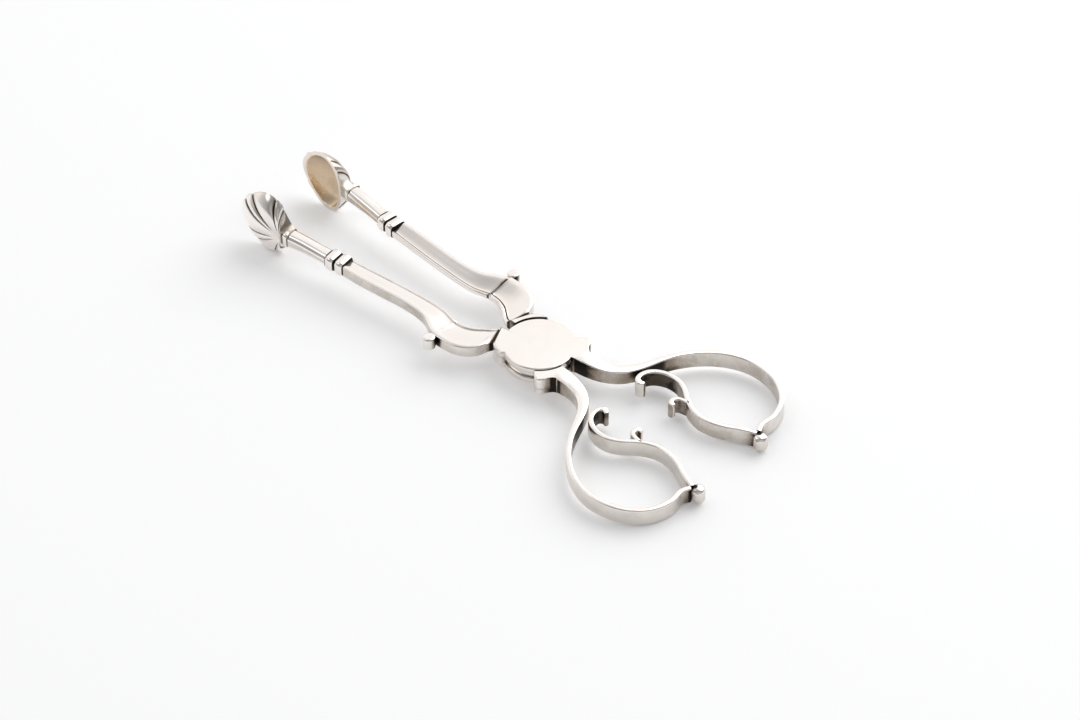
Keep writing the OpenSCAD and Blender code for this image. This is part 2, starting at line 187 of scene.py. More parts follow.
def bar_ring(s, side, edge, steps=CORNER_STEPS):
    """s is [x, y, width, height], and where the bar leaves the middle height its lift."""
    lift = s[4] if len(s) > 4 else 0.0
    return [(s[0] + side[0] * a, s[1] + side[1] * a, MID_Z + lift + b)
            for a, b in rounded(s[2] / 2, s[3] / 2, edge, steps)]


def bar_rings(p, edge, end=0.0):
    """Rings of a bar through the stations p, its last end rounded off by the radius end."""
    sides = [side_at(p, i) for i in range(len(p))]
    rings = [bar_ring(s, d, edge) for s, d in zip(p, sides)]
    end_rings = 4 if end else 0
    last, side = p[-1], sides[-1]
    for k in range(1, end_rings + 1):
        t = 90 * k / end_rings
        cut = 2 * end * (1 - cos(t))
        rings.append(bar_ring([last[0] + side[1] * end * sin(t),
                               last[1] - side[0] * end * sin(t),
                               last[2] - cut, last[3] - cut], side, edge))
    return rings


class Form:
    """Vertices each with a value of tarnish and painted shade and a gilt value, and faces, in the
    closed frame.
    """

    def __init__(self):
        self.points, self.patina, self.gilt, self.faces = [], [], [], []

    def add(self, point, patina=0.0, gilt=0.0):
        self.points.append(tuple(point))
        self.patina.append(patina)
        self.gilt.append(gilt)
        return len(self.points) - 1

    def loft(self, rings, patina=None, caps=True):
        """Skin over rings of equally many points, closed by caps or from the last ring back
        to the first. The argument for tarnish and painted shade is a function of ring number and
        point number."""
        first = len(self.points)
        m = len(rings[0])
        for i, ring in enumerate(rings):
            for j, q in enumerate(ring):
                self.add(q, patina(i, j) if patina else 0.0)
        for i in range(len(rings) - 1 + (0 if caps else 1)):
            for j in range(m):
                k = (j + 1) % m
                a = first + i * m
                b = first + (i + 1) % len(rings) * m
                self.faces.append((a + j, a + k, b + k, b + j))
        if caps:
            self.faces.append(tuple(first + j for j in range(m - 1, -1, -1)))
            last = first + (len(rings) - 1) * m
            self.faces.append(tuple(last + j for j in range(m)))
        return self

    def lathe(self, at, profile, n, patina=None, squash=None):
        """Turned form: profile is [radius, height] from the bottom axis point to the top one.
        Tarnish with painted shade, and squash, a share of the radius, are functions of angle and
        height."""
        low = self.add((at[0], at[1], profile[0][1]))
        rows = []
        for r, z in profile[1:-1]:
            row = []
            for j in range(n):
                t = 360 * j / n
                rr = r * (squash(t, z) if squash else 1)
                row.append(self.add((at[0] + rr * cos(t), at[1] + rr * sin(t), z),
                                    patina(t, z) if patina else 0.0))
            rows.append(row)
        high = self.add((at[0], at[1], profile[-1][1]))
        for j in range(n):
            k = (j + 1) % n
            self.faces.append((low, rows[0][k], rows[0][j]))
            self.faces.append((high, rows[-1][j], rows[-1][k]))
            for a, b in zip(rows, rows[1:]):
                self.faces.append((a[j], a[k], b[k], b[j]))
        return self


def place(point, tongue):
    """A point of the closed frame, swung open, and mirrored for the tongue half."""
    x, y, z = point
    c, s = cos(REST_SWING), sin(REST_SWING)
    x, y = x * c - y * s, x * s + y * c
    return Vector((x, -y if tongue else y, z)) * MM


def finish_shading(mesh, sharp):
    mesh.polygons.foreach_set("use_smooth", [True] * len(mesh.polygons))
    mesh.set_sharp_from_angle(angle=math.radians(sharp))
    mesh.update()


def make(name, form, tongue, sharp=SHARP, flat=False):
    """Mesh object of a form, swung to rest, with outward normals and marked edges.
    flat keeps its level faces truly flat beside their rounded edges."""
    mesh = bpy.data.meshes.new(name)
    mesh.from_pydata([place(p, tongue) for p in form.points], [], form.faces)
    mesh.update()
    for key, values in (("patina", form.patina), ("gilt", form.gilt)):
        layer = mesh.attributes.new(key, "FLOAT", "POINT")
        layer.data.foreach_set("value", values)
    bm = bmesh.new()
    bm.from_mesh(mesh)
    bmesh.ops.recalc_face_normals(bm, faces=bm.faces)
    bm.to_mesh(mesh)
    bm.free()
    finish_shading(mesh, sharp)
    if flat:
        for face in mesh.polygons:
            face.use_smooth = abs(face.normal.z) < 0.999
    obj = bpy.data.objects.new(name, mesh)
    bpy.context.scene.collection.objects.link(obj)
    obj.data.materials.append(SILVER)
    return obj


def apply_boolean(obj, cutter):
    """Cuts one mesh by another and keeps the result as plain mesh."""
    mod = obj.modifiers.new("cut", "BOOLEAN")
    mod.operation = "DIFFERENCE"
    mod.solver = "EXACT"
    mod.object = cutter
    graph = bpy.context.evaluated_depsgraph_get()
    result = bpy.data.meshes.new_from_object(obj.evaluated_get(graph))
    obj.modifiers.clear()
    old = obj.data
    obj.data = result
    result.name = old.name
    bpy.data.meshes.remove(old)
    finish_shading(obj.data, SHARP)


def drop(obj):
    mesh = obj.data
    bpy.data.objects.remove(obj)
    bpy.data.meshes.remove(mesh)


# Shader nodes
def node(tree, kind, **values):
    n = tree.nodes.new(kind)
    for key, value in values.items():
        setattr(n, key, value)
    return n


def math_node(tree, operation, a, b, clamp=False):
    n = node(tree, "ShaderNodeMath", operation=operation, use_clamp=clamp)
    for socket, value in zip(n.inputs, (a, b)):
        if isinstance(value, (int, float)):
            socket.default_value = value
        else:
            tree.links.new(value, socket)
    return n.outputs[0]


def times(tree, a, b):
    return math_node(tree, "MULTIPLY", a, b)


def plus(tree, a, b, clamp=False):
    return math_node(tree, "ADD", a, b, clamp)


def larger(tree, a, b, clamp=False):
    return math_node(tree, "MAXIMUM", a, b, clamp)


def mix_colour(tree, factor, a, b):
    """Colour a where the factor is 0 and b where it is 1."""
    n = node(tree, "ShaderNodeMix", data_type="RGBA")
    tree.links.new(factor, n.inputs[0])
    for socket, value in ((n.inputs[6], a), (n.inputs[7], b)):
        if isinstance(value, tuple):
            socket.default_value = (*value, 1.0)
        else:
            tree.links.new(value, socket)
    return n.outputs[2]


def noise(tree, vector, scale, detail, roughness=0.55):
    n = node(tree, "ShaderNodeTexNoise")
    n.inputs["Scale"].default_value = scale
    n.inputs["Detail"].default_value = detail
    n.inputs["Roughness"].default_value = roughness
    tree.links.new(vector, n.inputs["Vector"])
    return n.outputs["Fac"]


def ramp(tree, value, low, high):
    """0 at low, 1 at high, smooth between."""
    n = node(tree, "ShaderNodeMapRange", interpolation_type="SMOOTHSTEP")
    n.inputs["From Min"].default_value = low
    n.inputs["From Max"].default_value = high
    tree.links.new(value, n.inputs["Value"])
    return n.outputs["Result"]


def colour_ramp(tree, value, stops):
    n = node(tree, "ShaderNodeValToRGB")
    steps = n.color_ramp.elements
    while len(steps) < len(stops):
        steps.new(0.5)
    for step, (at, colour) in zip(steps, stops):
        step.position = at
        step.color = (*colour, 1.0)
    tree.links.new(value, n.inputs["Fac"])
    return n.outputs["Color"]


def bump(tree, height, strength, distance, under=None):
    n = node(tree, "ShaderNodeBump")
    n.inputs["Strength"].default_value = strength
    n.inputs["Distance"].default_value = distance * MM
    tree.links.new(height, n.inputs["Height"])
    if under is not None:
        tree.links.new(under, n.inputs["Normal"])
    return n.outputs["Normal"]


# Silver: from its polish through the brown of tarnish and painted shade on its walls to the black
# of tarnish and painted shade in its grooves
TONES = [(0.0, (0.95, 0.91, 0.88)), (0.3, (0.64, 0.60, 0.55)), (0.55, (0.33, 0.275, 0.215)),
         (0.78, (0.13, 0.10, 0.074)), (1.0, (0.022, 0.018, 0.015))]
WARM = (0.93, 0.855, 0.805)
GILT = (0.77, 0.61, 0.43)
GILT_DARK = (0.34, 0.25, 0.17)
# Scales of the patterns over the metal
CLOUD_SCALE = 75.0
PIT_SCALE = 150.0
DENT_SCALE = 190.0
PATCH_SCALE = 240.0
MARK_SCALE = 1500.0
# How far the darkening from occlusion reaches: tarnish in hollows, and painted shade in corners,
# between parts and beside the table
CORNER_REACH = 1.1


def tarnish_and_shade_depth(tree, coords, patina, patches):
    """Depth of tarnish and painted shade: 0 is polished and 1 is black."""
    ao = node(tree, "ShaderNodeAmbientOcclusion", samples=8)
    ao.inputs["Distance"].default_value = CORNER_REACH * MM
    corner = ramp(tree, ao.outputs["AO"], 0.66, 0.10)
    # Tarnish and painted shade from the vertex values, in soft patches, and darkening from
    # occlusion: tarnish in the hollows and painted shade in corners, between parts and beside the
    # table
    spread = plus(tree, 0.72, times(tree, patches, 0.42))
    cast = larger(tree, times(tree, patina, spread), times(tree, corner, 0.80))
    depth = larger(tree, cast, ramp(tree, patina, 0.80, 1.0), clamp=True)
    # A pit here and there in the polish
    pits = node(tree, "ShaderNodeTexVoronoi")
    pits.inputs["Scale"].default_value = PIT_SCALE
    tree.links.new(coords, pits.inputs["Vector"])
    pit = ramp(tree, pits.outputs["Distance"], 0.030, 0.016)
    return larger(tree, depth, times(tree, pit, 0.6))


def metal_colour(tree, coords, depth, patina, gilt, patches):
    """Silver by its tarnish and painted shade, warmer in clouds, and gilding that wears off in
    patches and darkens with painted shade.
    """
    silver = colour_ramp(tree, depth, TONES)
    cloud = ramp(tree, noise(tree, coords, CLOUD_SCALE, 2.0), 0.30, 0.72)
    warm = mix_colour(tree, depth, WARM, silver)
    silver = mix_colour(tree, times(tree, cloud, 0.6), silver, warm)
    worn_and_shaded = larger(tree, times(tree, patches, 0.4), patina)
    return mix_colour(tree, gilt, silver, mix_colour(tree, worn_and_shaded, GILT, GILT_DARK))


def silver_material(name):
    mat = bpy.data.materials.new(name)
    mat.use_nodes = True
    tree = mat.node_tree
    tree.nodes.clear()
    out = node(tree, "ShaderNodeOutputMaterial")
    bsdf = node(tree, "ShaderNodeBsdfPrincipled")
    tree.links.new(bsdf.outputs["BSDF"], out.inputs["Surface"])
    bsdf.inputs["Metallic"].default_value = 1.0
    coords = node(tree, "ShaderNodeTexCoord").outputs["Object"]
    patina = node(tree, "ShaderNodeAttribute", attribute_name="patina").outputs["Fac"]
    gilt = node(tree, "ShaderNodeAttribute", attribute_name="gilt").outputs["Fac"]
    patches = ramp(tree, noise(tree, coords, PATCH_SCALE, 5.0, 0.62), 0.36, 0.68)
    depth = tarnish_and_shade_depth(tree, coords, patina, patches)
    base = metal_colour(tree, coords, depth, patina, gilt, patches)
    tree.links.new(base, bsdf.inputs["Base Color"])

    # Hand polish: soft wear marks over a fairly low roughness, dull where dark
    marks = noise(tree, coords, MARK_SCALE, 5.0, 0.7)
    rough = plus(tree, 0.12, times(tree, marks, 0.12))
    rough = plus(tree, rough, times(tree, depth, 0.26))
    rough = plus(tree, rough, times(tree, gilt, 0.04), clamp=True)
    tree.links.new(rough, bsdf.inputs["Roughness"])

    dents = bump(tree, noise(tree, coords, DENT_SCALE, 2.0), 0.5, 0.10)
    tree.links.new(bump(tree, marks, 0.35, 0.006, dents), bsdf.inputs["Normal"])
    return mat


SILVER = silver_material("silver_polished")


# Box joint. Outlines run anticlockwise as [x, y, bevel share, tarnish and painted shade of the
# wall].
ARC_STEP = 3.0
# Angles round the pivot: where the front block begins, where the stem's side meets the disc,
# the two ends of the back block, and the stretches where the disc's edge is bare
FRONT_FROM = 0.8
STEM_SIDE = 184.2
BACK_BLOCK = (184.5, 229.2)
BARE_FRONT = (55.5, 181)
BARE_BACK = (229.9, 360.5)
# Radii of the rounding along a face's edge and along an edge inside the joint
TOP_EDGE = 0.3
INNER_EDGE = 0.1


def polar(r, t):
    return (r * cos(t), r * sin(t))


def angle_of(point):
    return math.degrees(math.atan2(point[1], point[0]))


def arc(r, a, b, bevel, patina):
    n = max(1, round(abs(b - a) / ARC_STEP))
    return [(*polar(r, a + (b - a) * k / n), bevel, patina) for k in range(n + 1)]


def front_path():
    """From the crotch face round the groove face to the front block's far end."""
    steps = 6
    face = [tuple(a + (b - a) * k / steps for a, b in zip(GROOVE_IN, GROOVE_OUT))
            for k in range(steps + 1)]
    path = [(*face[0], 1, 0.8)]
    path += [(*q, 1, 1) for q in face[1:-1]]
    swell = curve([GROOVE_OUT, (6.75, 5.62), (5.95, 6.08), (5.2, 6.38), (4.6, 6.5)], 2)
    return path + [(*q, 1.5, 0.35 if k == 0 else 0.12) for k, q in enumerate(swell)]


def back_path():
    """From the stem round the hollow and the spur to the back block's far end."""
    hollow = curve([(-9.7, -3.9), (-8.95, -4.5), (-8.45, -5.35), (-8.05, -6.2), (-7.5, -6.95)], 4)
    path = [(*polar(BLOCK_R, BACK_BLOCK[0]), 0, 0.5), (-8.5, -2.6, 0, 0.5), (*hollow[0], 0, 0.5)]
    path += [(*q, 1, min(1, 1.5 - 0.11 * k)) for k, q in enumerate(hollow[1:])]
    path += [(-7.1, -7.0, 1, 0.05), (-6.4, -6.85, 1, 0.1)]
    return path + [(*polar(BLOCK_R, BACK_BLOCK[1]), 1, 0.3)]


def outline(r, cast):
    """The whole outline round a disc of radius r, whose bare edge takes cast as its tarnish and
    painted shade.
    """
    return ([(*polar(r, FRONT_FROM), 1, 0.8)] + front_path() + arc(r, *BARE_FRONT, 1, cast)
            + [(*polar(r, STEM_SIDE), 0, 1)] + back_path() + arc(r, *BARE_BACK, 1, cast))


def block(path, r):
    """Outline of one block outside a seat of radius r."""
    a = angle_of(path[0]) % 360
    b = angle_of(path[-1]) % 360
    if a < 90:
        a = FRONT_FROM
    return path + [(*polar(r, b), 1, 0.4)] + arc(r, b + (a - b) / 20, a, 1, 1)


def inward_ways(path):
    """For each point of an outline the way that its edge draws in when it is rounded off."""
    ways = []
    for i, b in enumerate(path):
        normals = []
        for p, q in ((path[i - 1], b), (b, path[(i + 1) % len(path)])):
            d = Vector((q[0] - p[0], q[1] - p[1]))
            if d.length > 1e-6:
                d.normalize()
                normals.append(Vector((-d.y, d.x)))
        m = sum(normals, Vector((0, 0)))
        m = m / max(0.35, m.length_squared) * len(normals)
        ways.append(m * b[2])
    return ways


def edge_rows(z0, z1, low, high):
    """Rows of an upright wall as [inset, height, share of the wall's tarnish and painted shade]."""
    lower = [(low * (1 - cos(t)), z0 + low * (1 - sin(t)), 1 - t / 90) for t in (90, 60, 30, 0)]
    upper = [(high * (1 - cos(t)), z1 - high * (1 - sin(t)), 1 - t / 90) for t in (0, 30, 60, 90)]
    return (lower if low else lower[-1:]) + (upper if high else upper[:1])


def slab(form, path, z0, z1, low=0.0, high=0.0, hole=0.0):
    """Upright solid on an outline, with its lower and upper edges rounded off."""
    rows = edge_rows(z0, z1, low, high)
    ways = inward_ways(path)
    rings = [[(p[0] + m.x * cut, p[1] + m.y * cut, z) for p, m in zip(path, ways)]
             for cut, z, share in rows]
    shares = [share for cut, z, share in rows]
    if hole:
        for z in (z1, z0):
            rings.append([(*polar(hole, angle_of(p)), z) for p in path])
            shares.append(0)

    def patina(i, j):
        # A dark wall, with tarnish and painted shade, takes its edge with it, a light one fades
        # over the edge
        wall = path[j][3]
        return wall * (min(1, 3 * shares[i]) if wall > 0.6 else shares[i])
    return form.loft(rings, patina, caps=not hole)


def box_joint_form():
    form = Form()
    plate = outline(DISC_R, 0.2)
    hole = RIVET_R + RIVET_FLARE
    slab(form, plate, 0, CHEEK_T, TOP_EDGE, INNER_EDGE, hole)
    slab(form, plate, JOINT_H - CHEEK_T, JOINT_H, INNER_EDGE, TOP_EDGE, hole)
    for path in (front_path(), back_path()):
        slab(form, block(path, TONGUE_R + SEAT_GAP), CHEEK_T, JOINT_H - CHEEK_T)
    return form


def tongue_joint_form():
    form = Form()
    z0 = CHEEK_T + LAYER_GAP
    z1 = z0 + TONGUE_T
    slab(form, outline(TONGUE_R, 0.1), z0, z1, INNER_EDGE, INNER_EDGE, RIVET_R + RIVET_GAP)
    for path in (front_path(), back_path()):
        ends = block(path, DISC_R + 1.8 * SEAT_GAP)
        slab(form, ends, 0, z0, low=TOP_EDGE)
        slab(form, ends, z1, JOINT_H, high=TOP_EDGE)
    return form


def rivet_form():
    """A hair slimmer than its holes, so that a fine line shows round its spread ends."""
    r = RIVET_R + RIVET_FLARE - 0.004
    lip = 0.01
    return Form().lathe((0, 0), [
        (0, 0), (r - lip, 0), (r, lip), (RIVET_R, RIVET_FLARE), (RIVET_R, JOINT_H - RIVET_FLARE),
        (r, JOINT_H - lip), (r - lip, JOINT_H), (0, JOINT_H)], 64)


# Arms
# Top line of an arm's section, inner edge to outer: [share of width, share of height]
SCOOP_TOP = [[0.0, 0.24], [0.015, 0.34], [0.045, 0.41], [0.085, 0.41], [0.115, 0.34],
             [0.16, 0.30], [0.22, 0.31], [0.3, 0.36], [0.42, 0.475], [0.54, 0.63], [0.66, 0.80],
             [0.76, 0.925], [0.85, 0.99], [0.92, 0.99], [0.965, 0.955], [0.99, 0.90], [1.0, 0.80]]
# Stations by their shares of the way along and of the ridge's distance out, outer edge and
# inner edge, then for the shoulder its share of the full height, then the depth of the scoop
SHOULDER_SHARES = [
    [0.113, 0.543, 0.076, 0.022, 0.85, 0.4], [0.158, 0.641, 0.141, 0.027, 1, 0.8],
    [0.222, 0.783, 0.228, 0.049, 1, 1], [0.339, 0.913, 0.359, 0.125, 1, 1],
    [0.493, 1.0, 0.533, 0.228, 1, 1], [0.692, 1.033, 0.739, 0.288, 1, 1],
    [0.937, 1.011, 0.924, 0.293, 1, 0.98]]
SHAFT_SHARES = [
    [0.075, 0.88, 0.05, 0.228, 1], [0.181, 0.663, 0.137, 0.147, 0.95],
    [0.294, 0.554, 0.277, 0.098, 0.9], [0.46, 0.495, 0.446, 0.071, 0.85],
    [0.642, 0.478, 0.635, 0.049, 0.85], [0.83, 0.457, 0.823, 0.038, 0.8]]
# Part of the groove's length that the shoulder's foot covers
FOOT_SHARE = 0.79
# Tarnish and painted shade on an arm's outer wall
WALL_TARNISH_AND_SHADE = 0.34
# First and last section points at the foot of the inner lip
LIP_FOOT = (7, 9)


def scoop_section(scoop):
    return curve([[q[0], 1 - scoop * (1 - q[1])] for q in SCOOP_TOP], 2)


SECTION = len(scoop_section(1))


def arm_ring(s):
    """s is [outer x, outer y, inner x, inner y, height, scoop]."""
    outer, inner = Vector((s[0], s[1])), Vector((s[2], s[3]))
    top = scoop_section(s[5])
    ring = []
    for q in [(a, -b) for a, b in top] + [(a, b) for a, b in reversed(top)]:
        xy = inner + (outer - inner) * clamp(q[0])
        ring.append((xy.x, xy.y, MID_Z + q[1] * s[4] / 2))
    return ring


def across(j):
    """Place of a ring's point on the section's line, counted from the inner edge."""
    return j if j < SECTION else 2 * SECTION - 1 - j


def arm_patina(j, outer, inner, lip):
    """Tarnish and painted shade on the upright walls of an arm's section, and a painted shadow
    along the foot of its inner lip.
    """
    k = across(j)
    if k >= SECTION - 2:
        return outer
    if k <= 1:
        return inner
    return lip if LIP_FOOT[0] <= k <= LIP_FOOT[1] else 0.0


def shoulder_form(ridge_scoops, lip, inner):
    rise = ARM_H + 0.2
    way_out, way_in = RIDGE_OUT[0] - GROOVE_OUT[0], RIDGE_IN[0] - GROOVE_IN[0]
    stations = [[GROOVE_IN[0] + FOOT_SHARE * (GROOVE_OUT[0] - GROOVE_IN[0]),
                 GROOVE_IN[1] + FOOT_SHARE * (GROOVE_OUT[1] - GROOVE_IN[1]),
                 GROOVE_IN[0], GROOVE_IN[1], 0.63 * rise, 0.1]]
    stations += [[GROOVE_OUT[0] + q[0] * way_out, q[1] * RIDGE_OUT[1],
                  GROOVE_IN[0] + q[2] * way_in, q[3] * RIDGE_OUT[1], q[4] * rise, q[5]]
                 for q in SHOULDER_SHARES]
    stations.append([*RIDGE_OUT, *RIDGE_IN, rise, 0.9])
    line = curve(stations, 8)
    line = [s for s in line[:-1] if s[0] < RIDGE_OUT[0] - 0.4] + [list(line[-1]) for k in range(3)]
    # The ridge stands up as a thin lip on one half and is worn down on the other
    for s, back, scoop in zip(line[-3:], (0.18, 0.07, 0.0), ridge_scoops):
        s[0] -= back
        s[2] -= back
        s[5] = scoop
    # The first rings by the groove carry painted shade: a black foot, and darker walls near it. The
    # half with the darker inner wall has the shorter black foot in the groove
    black = 2.5 if inner > 0.2 else 3.2

    def patina(i, j):
        foot = max(0, 1 - i / 13)
        end = clamp((line[i][0] - RIDGE_OUT[0] + 1.9) / 0.5)
        wall = max(WALL_TARNISH_AND_SHADE + 0.65 * foot, end)
        return max(clamp(black - i / 4), arm_patina(j, wall, inner + 0.65 * foot, lip))
    return Form().loft([arm_ring(s) for s in line], patina)


def shaft_form(root, lip, inner):
    """root is how dark the shaft is painted beside the ridge: a painted shadow of the ridge,
    fainter towards the outer edge.
    """
    way_out, way_in = ARM_REACH - RIDGE_OUT[0], ARM_REACH - RIDGE_IN[0]
    end_half = 0.53 * NECK_W
    stations = [[*RIDGE_OUT, *RIDGE_IN, ARM_H, 1]]
    stations += [[RIDGE_OUT[0] + q[0] * way_out, q[1] * RIDGE_OUT[1],
                  RIDGE_IN[0] + q[2] * way_in, q[3] * RIDGE_OUT[1], ARM_H, q[4]]
                 for q in SHAFT_SHARES]
    stations.append([ARM_REACH, NECK_Y + end_half, ARM_REACH, NECK_Y - end_half, ARM_H, 0.7])

    def patina(i, j):
        outwards = 1.0 if across(j) < SECTION * 0.75 else 0.3
        return max(root * clamp(1.65 - i / 3.2) * outwards, arm_patina(j, WALL_TARNISH_AND_SHADE, inner, lip))
    return Form().loft([arm_ring(s) for s in curve(stations, 10)], patina)


def quarter(r, e, h, start, end, under):
    """Rounded edge, of radius e, of a barrel whose end is h from its middle: the lower end
    where under is true."""
    centre = e - h if under else h - e
    return [(r - e + e * cos(t), centre + e * sin(t)) for t in range(start, end, 15)]


def roll_form():
    h = ARM_H / 2 + 0.15
    e = 0.32 * ROLL_R
    flat = 0.5
    profile = [(0, -h), (flat, -h), *quarter(ROLL_R, e, h, -90, 1, True),
               *quarter(ROLL_R, e, h, 0, 91, False), (flat, h), (0, h)]
    at = (RIDGE_OUT[0] + 0.55 * ROLL_R, RIDGE_OUT[1] + 0.75 * ROLL_R)

    def patina(t, z):
        # Dark on the side towards the shoulder
        turn = abs((t - 205 + 180) % 360 - 180)
        return min(1, max(0.12, 1.5 - turn / 45)) if abs(z - MID_Z) < h - 0.15 else 0.0
    return Form().lathe(at, [(r, MID_Z + z) for r, z in profile], 48, patina)


def collar_form():
    rings, depth = [], []
    steps = 32 * COLLAR_BEADS
    for k in range(steps + 1):
        wave = abs(sin(180 * k * COLLAR_BEADS / steps))
        rise = 2 * BEAD_RISE * wave ** 0.7
        rings.append(bar_ring([ARM_REACH + COLLAR_L * k / steps, NECK_Y, NECK_W + rise,
                               ARM_H + rise, 0.2 * SHELL_LIFT], (0, 1), 0.8, 6))
        depth.append(clamp(1.0 - (wave - 0.36) / 0.12))
    return Form().loft(rings, lambda i, j: depth[i])


def wall_patina(steps, left, right):
    """Tarnish and painted shade for a rounded section's two upright walls, left on the side of
    side_at. steps is the number of steps round each of its corners."""
    n = steps + 1

    def value(j):
        if j % (4 * n) in (0, 4 * n - 1):
            return left
        return right if j % (4 * n) in (2 * n - 1, 2 * n) else 0.0
    return value


def neck_form():
    steps = 8
    stations = curve([
        [COLLAR_END, NECK_Y, NECK_W, ARM_H + 0.2, 0.4 * SHELL_LIFT],
        [COLLAR_END + 0.3 * NECK_L, NECK_Y - 0.05, NECK_W - 0.1, ARM_H + 0.25, 0.7 * SHELL_LIFT],
        [COLLAR_END + 0.7 * NECK_L, NECK_Y - 0.1, NECK_W - 0.1, ARM_H + 0.55, SHELL_LIFT],
        [NECK_END, NECK_Y - 0.05, NECK_W, ARM_H + 0.8, SHELL_LIFT]], steps)
    wall = wall_patina(steps, 0.3, 0.45)
    return Form().loft([bar_ring(s, (0, 1), 1.1, steps) for s in stations],
                       lambda i, j: wall(j))


def cuff_form():
    """Cuff with a darkened groove at each end, run on into the back of the shell."""
    w, h = NECK_W - 0.1, ARM_H + 0.8
    stations = [
        [NECK_END, NECK_Y, w - 0.5, h - 0.6],
        [NECK_END + 0.22, NECK_Y, w - 0.5, h - 0.6],
        [NECK_END + 0.34, NECK_Y, w, h - 0.1],
        [NECK_END + 0.5, NECK_Y, w + 0.1, h],
        [CUFF_END - 0.75, NECK_Y, w + 0.1, h + 0.2],
        [CUFF_END - 0.62, NECK_Y, w, h + 0.1],
        [CUFF_END - 0.45, NECK_Y, w - 0.5, h - 0.5],
        [CUFF_END, NECK_Y, w - 0.4, h - 0.3],
        [CUFF_END + 0.6, NECK_Y - 0.25, w - 0.6, h - 0.1],
        [CUFF_END + 1.4, NECK_Y - 0.6, w - 1.2, h - 0.4]]
    groove_darkness = [1, 0.9, 0.3, 0, 0, 0.3, 1, 0.6, 0.2, 0]
    return Form().loft([bar_ring(s + [SHELL_LIFT], (0, 1), 0.6) for s in stations],
                       lambda i, j: groove_darkness[i])


# The web's sections: [way past the neck, inner y, outer y, height inside, height outside]
WEB_ROWS = [(-0.05, 0.55, 3.5, 4.02, 4.02), (0.45, 0.5, 3.45, 4.12, 4.04),
            (0.95, 0.42, 3.35, 4.36, 4.07), (1.45, 0.35, 3.2, 4.8, 4.12),
            (1.95, 0.3, 3.0, 5.4, 4.25), (2.4, 0.28, 2.8, 6.1, 4.5), (2.8, 0.27, 2.6, 6.8, 4.9)]
WEB_FOOT_Z = 1.6


def web_form():
    """The fillet that carries the neck's top up into the shell's smooth wall."""
    steps = 9
    rings = []
    for x, inner, outer, high, low in curve(WEB_ROWS, 3):
        ring = [(NECK_END + x, inner, WEB_FOOT_Z), (NECK_END + x, outer, WEB_FOOT_Z)]
        for k in range(steps + 1):
            u = 1 - k / steps
            z = low + (high - low) * (1 - u) ** 1.7
            soft = 0.25 * (u ** 8 + 0.4 * (1 - u) ** 8)
            ring.append((NECK_END + x, inner + (outer - inner) * u, z - soft))
        rings.append(ring)
    # Painted shade over the whole fillet, darkest where it leaves the neck
    return Form().loft(rings, lambda i, j: min(1, max(0, 1 - i / 1.5) + 0.52))


# Shells. Points are [towards the tip, outwards, up] from the middle of the rim. Lines run
# from the hub to the rim, with the flutes between them.
PER_FLUTE = 24
OUTER_STEPS = [0.05, 0.09, 0.14, 0.2, 0.27, 0.34, 0.42, 0.5, 0.58, 0.66, 0.74, 0.81, 0.87, 0.92,
               0.955, 0.98, 0.993, 1.0]
INNER_STEPS = [1.0, 0.985, 0.95, 0.88, 0.78, 0.66, 0.54, 0.42, 0.3, 0.2, 0.1]
# Share of the way from hub to rim where the rim's own finish begins
RIM_FROM = 0.97


def flute_edge(i):
    return FLUTE_WIDE * (i // 2 + NARROW_SHARE * ((i + 1) // 2)) - FLUTE_TURN / 2


def shell_angle(k):
    i, q = k // PER_FLUTE, (k % PER_FLUTE) / PER_FLUTE
    if i < FLUTES:
        return flute_edge(i) * (1 - q) + flute_edge(i + 1) * q
    return FLUTE_TURN / 2 + (360 - FLUTE_TURN) * q


def lobe(k):
    """Height of a flute's section: broad backs on the wide ones, fine V grooves between."""
    if k >= FLUTES * PER_FLUTE:
        return 0.0
    return abs(sin(180 * k / PER_FLUTE)) ** (0.62 if k // PER_FLUTE % 2 else 0.8)


def rim(t, length, height):
    f = 1 + 0.03 * cos(3 * t)
    return (f * length * cos(t), f * height * sin(t) * (1 - 0.1 * cos(t)))


def bulge(s, t, length, height, top, out):
    """Point at the share s of the line that bulges outwards from the hub top to the rim."""
    r = rim(t, length, height)
    q, c = (1 - s) ** 2, 2 * s * (1 - s)
    return Vector((q * top[0] + c * (top[0] * (1 - BULGE_PULL) + r[0] * BULGE_PULL) + s * s * r[0],
                   q * top[1] + c * out, (c * BULGE_PULL + s * s) * r[1] - q * SHELL_LIFT))


def flute_height(s):
    return min(1, 2.2 * max(0, s - 0.08)) * (FLUTE_RISE - (FLUTE_RISE - RIM_RISE) * s ** 3)


def outer_point(s, k):
    p = bulge(s, shell_angle(k), HALF_L - RIM_RISE, HALF_H - INSIDE - RIM_RISE, HUB, BULGE_OUT)
    return p + flute_height(s) * lobe(k) * p.normalized()


def inner_point(s, k):
    inset = RIM_RISE + SHELL_WALL
    return bulge(s, shell_angle(k), HALF_L - inset, HALF_H - inset, HOLLOW_HUB,
                 BULGE_OUT - 1.2 * SHELL_WALL)


def placed(p):
    return (SHELL_X + p[0], RIM_GAP / 2 + p[1], MID_Z + SHELL_LIFT + p[2])


def groove_patina(k, s):
    """Dark along the grooves, lighter at the hub and at the rim."""
    if k > FLUTES * PER_FLUTE:
        return 0.3
    near = min(k % PER_FLUTE, PER_FLUTE - k % PER_FLUTE)
    broad = 2.8 if k // PER_FLUTE % 2 else 4.4
    dark = min(1, 1.25 * max(0.0, 1 - near / broad))
    return dark * clamp((s - 0.12) / 0.12) * (1 if s < RIM_FROM else 0.4)


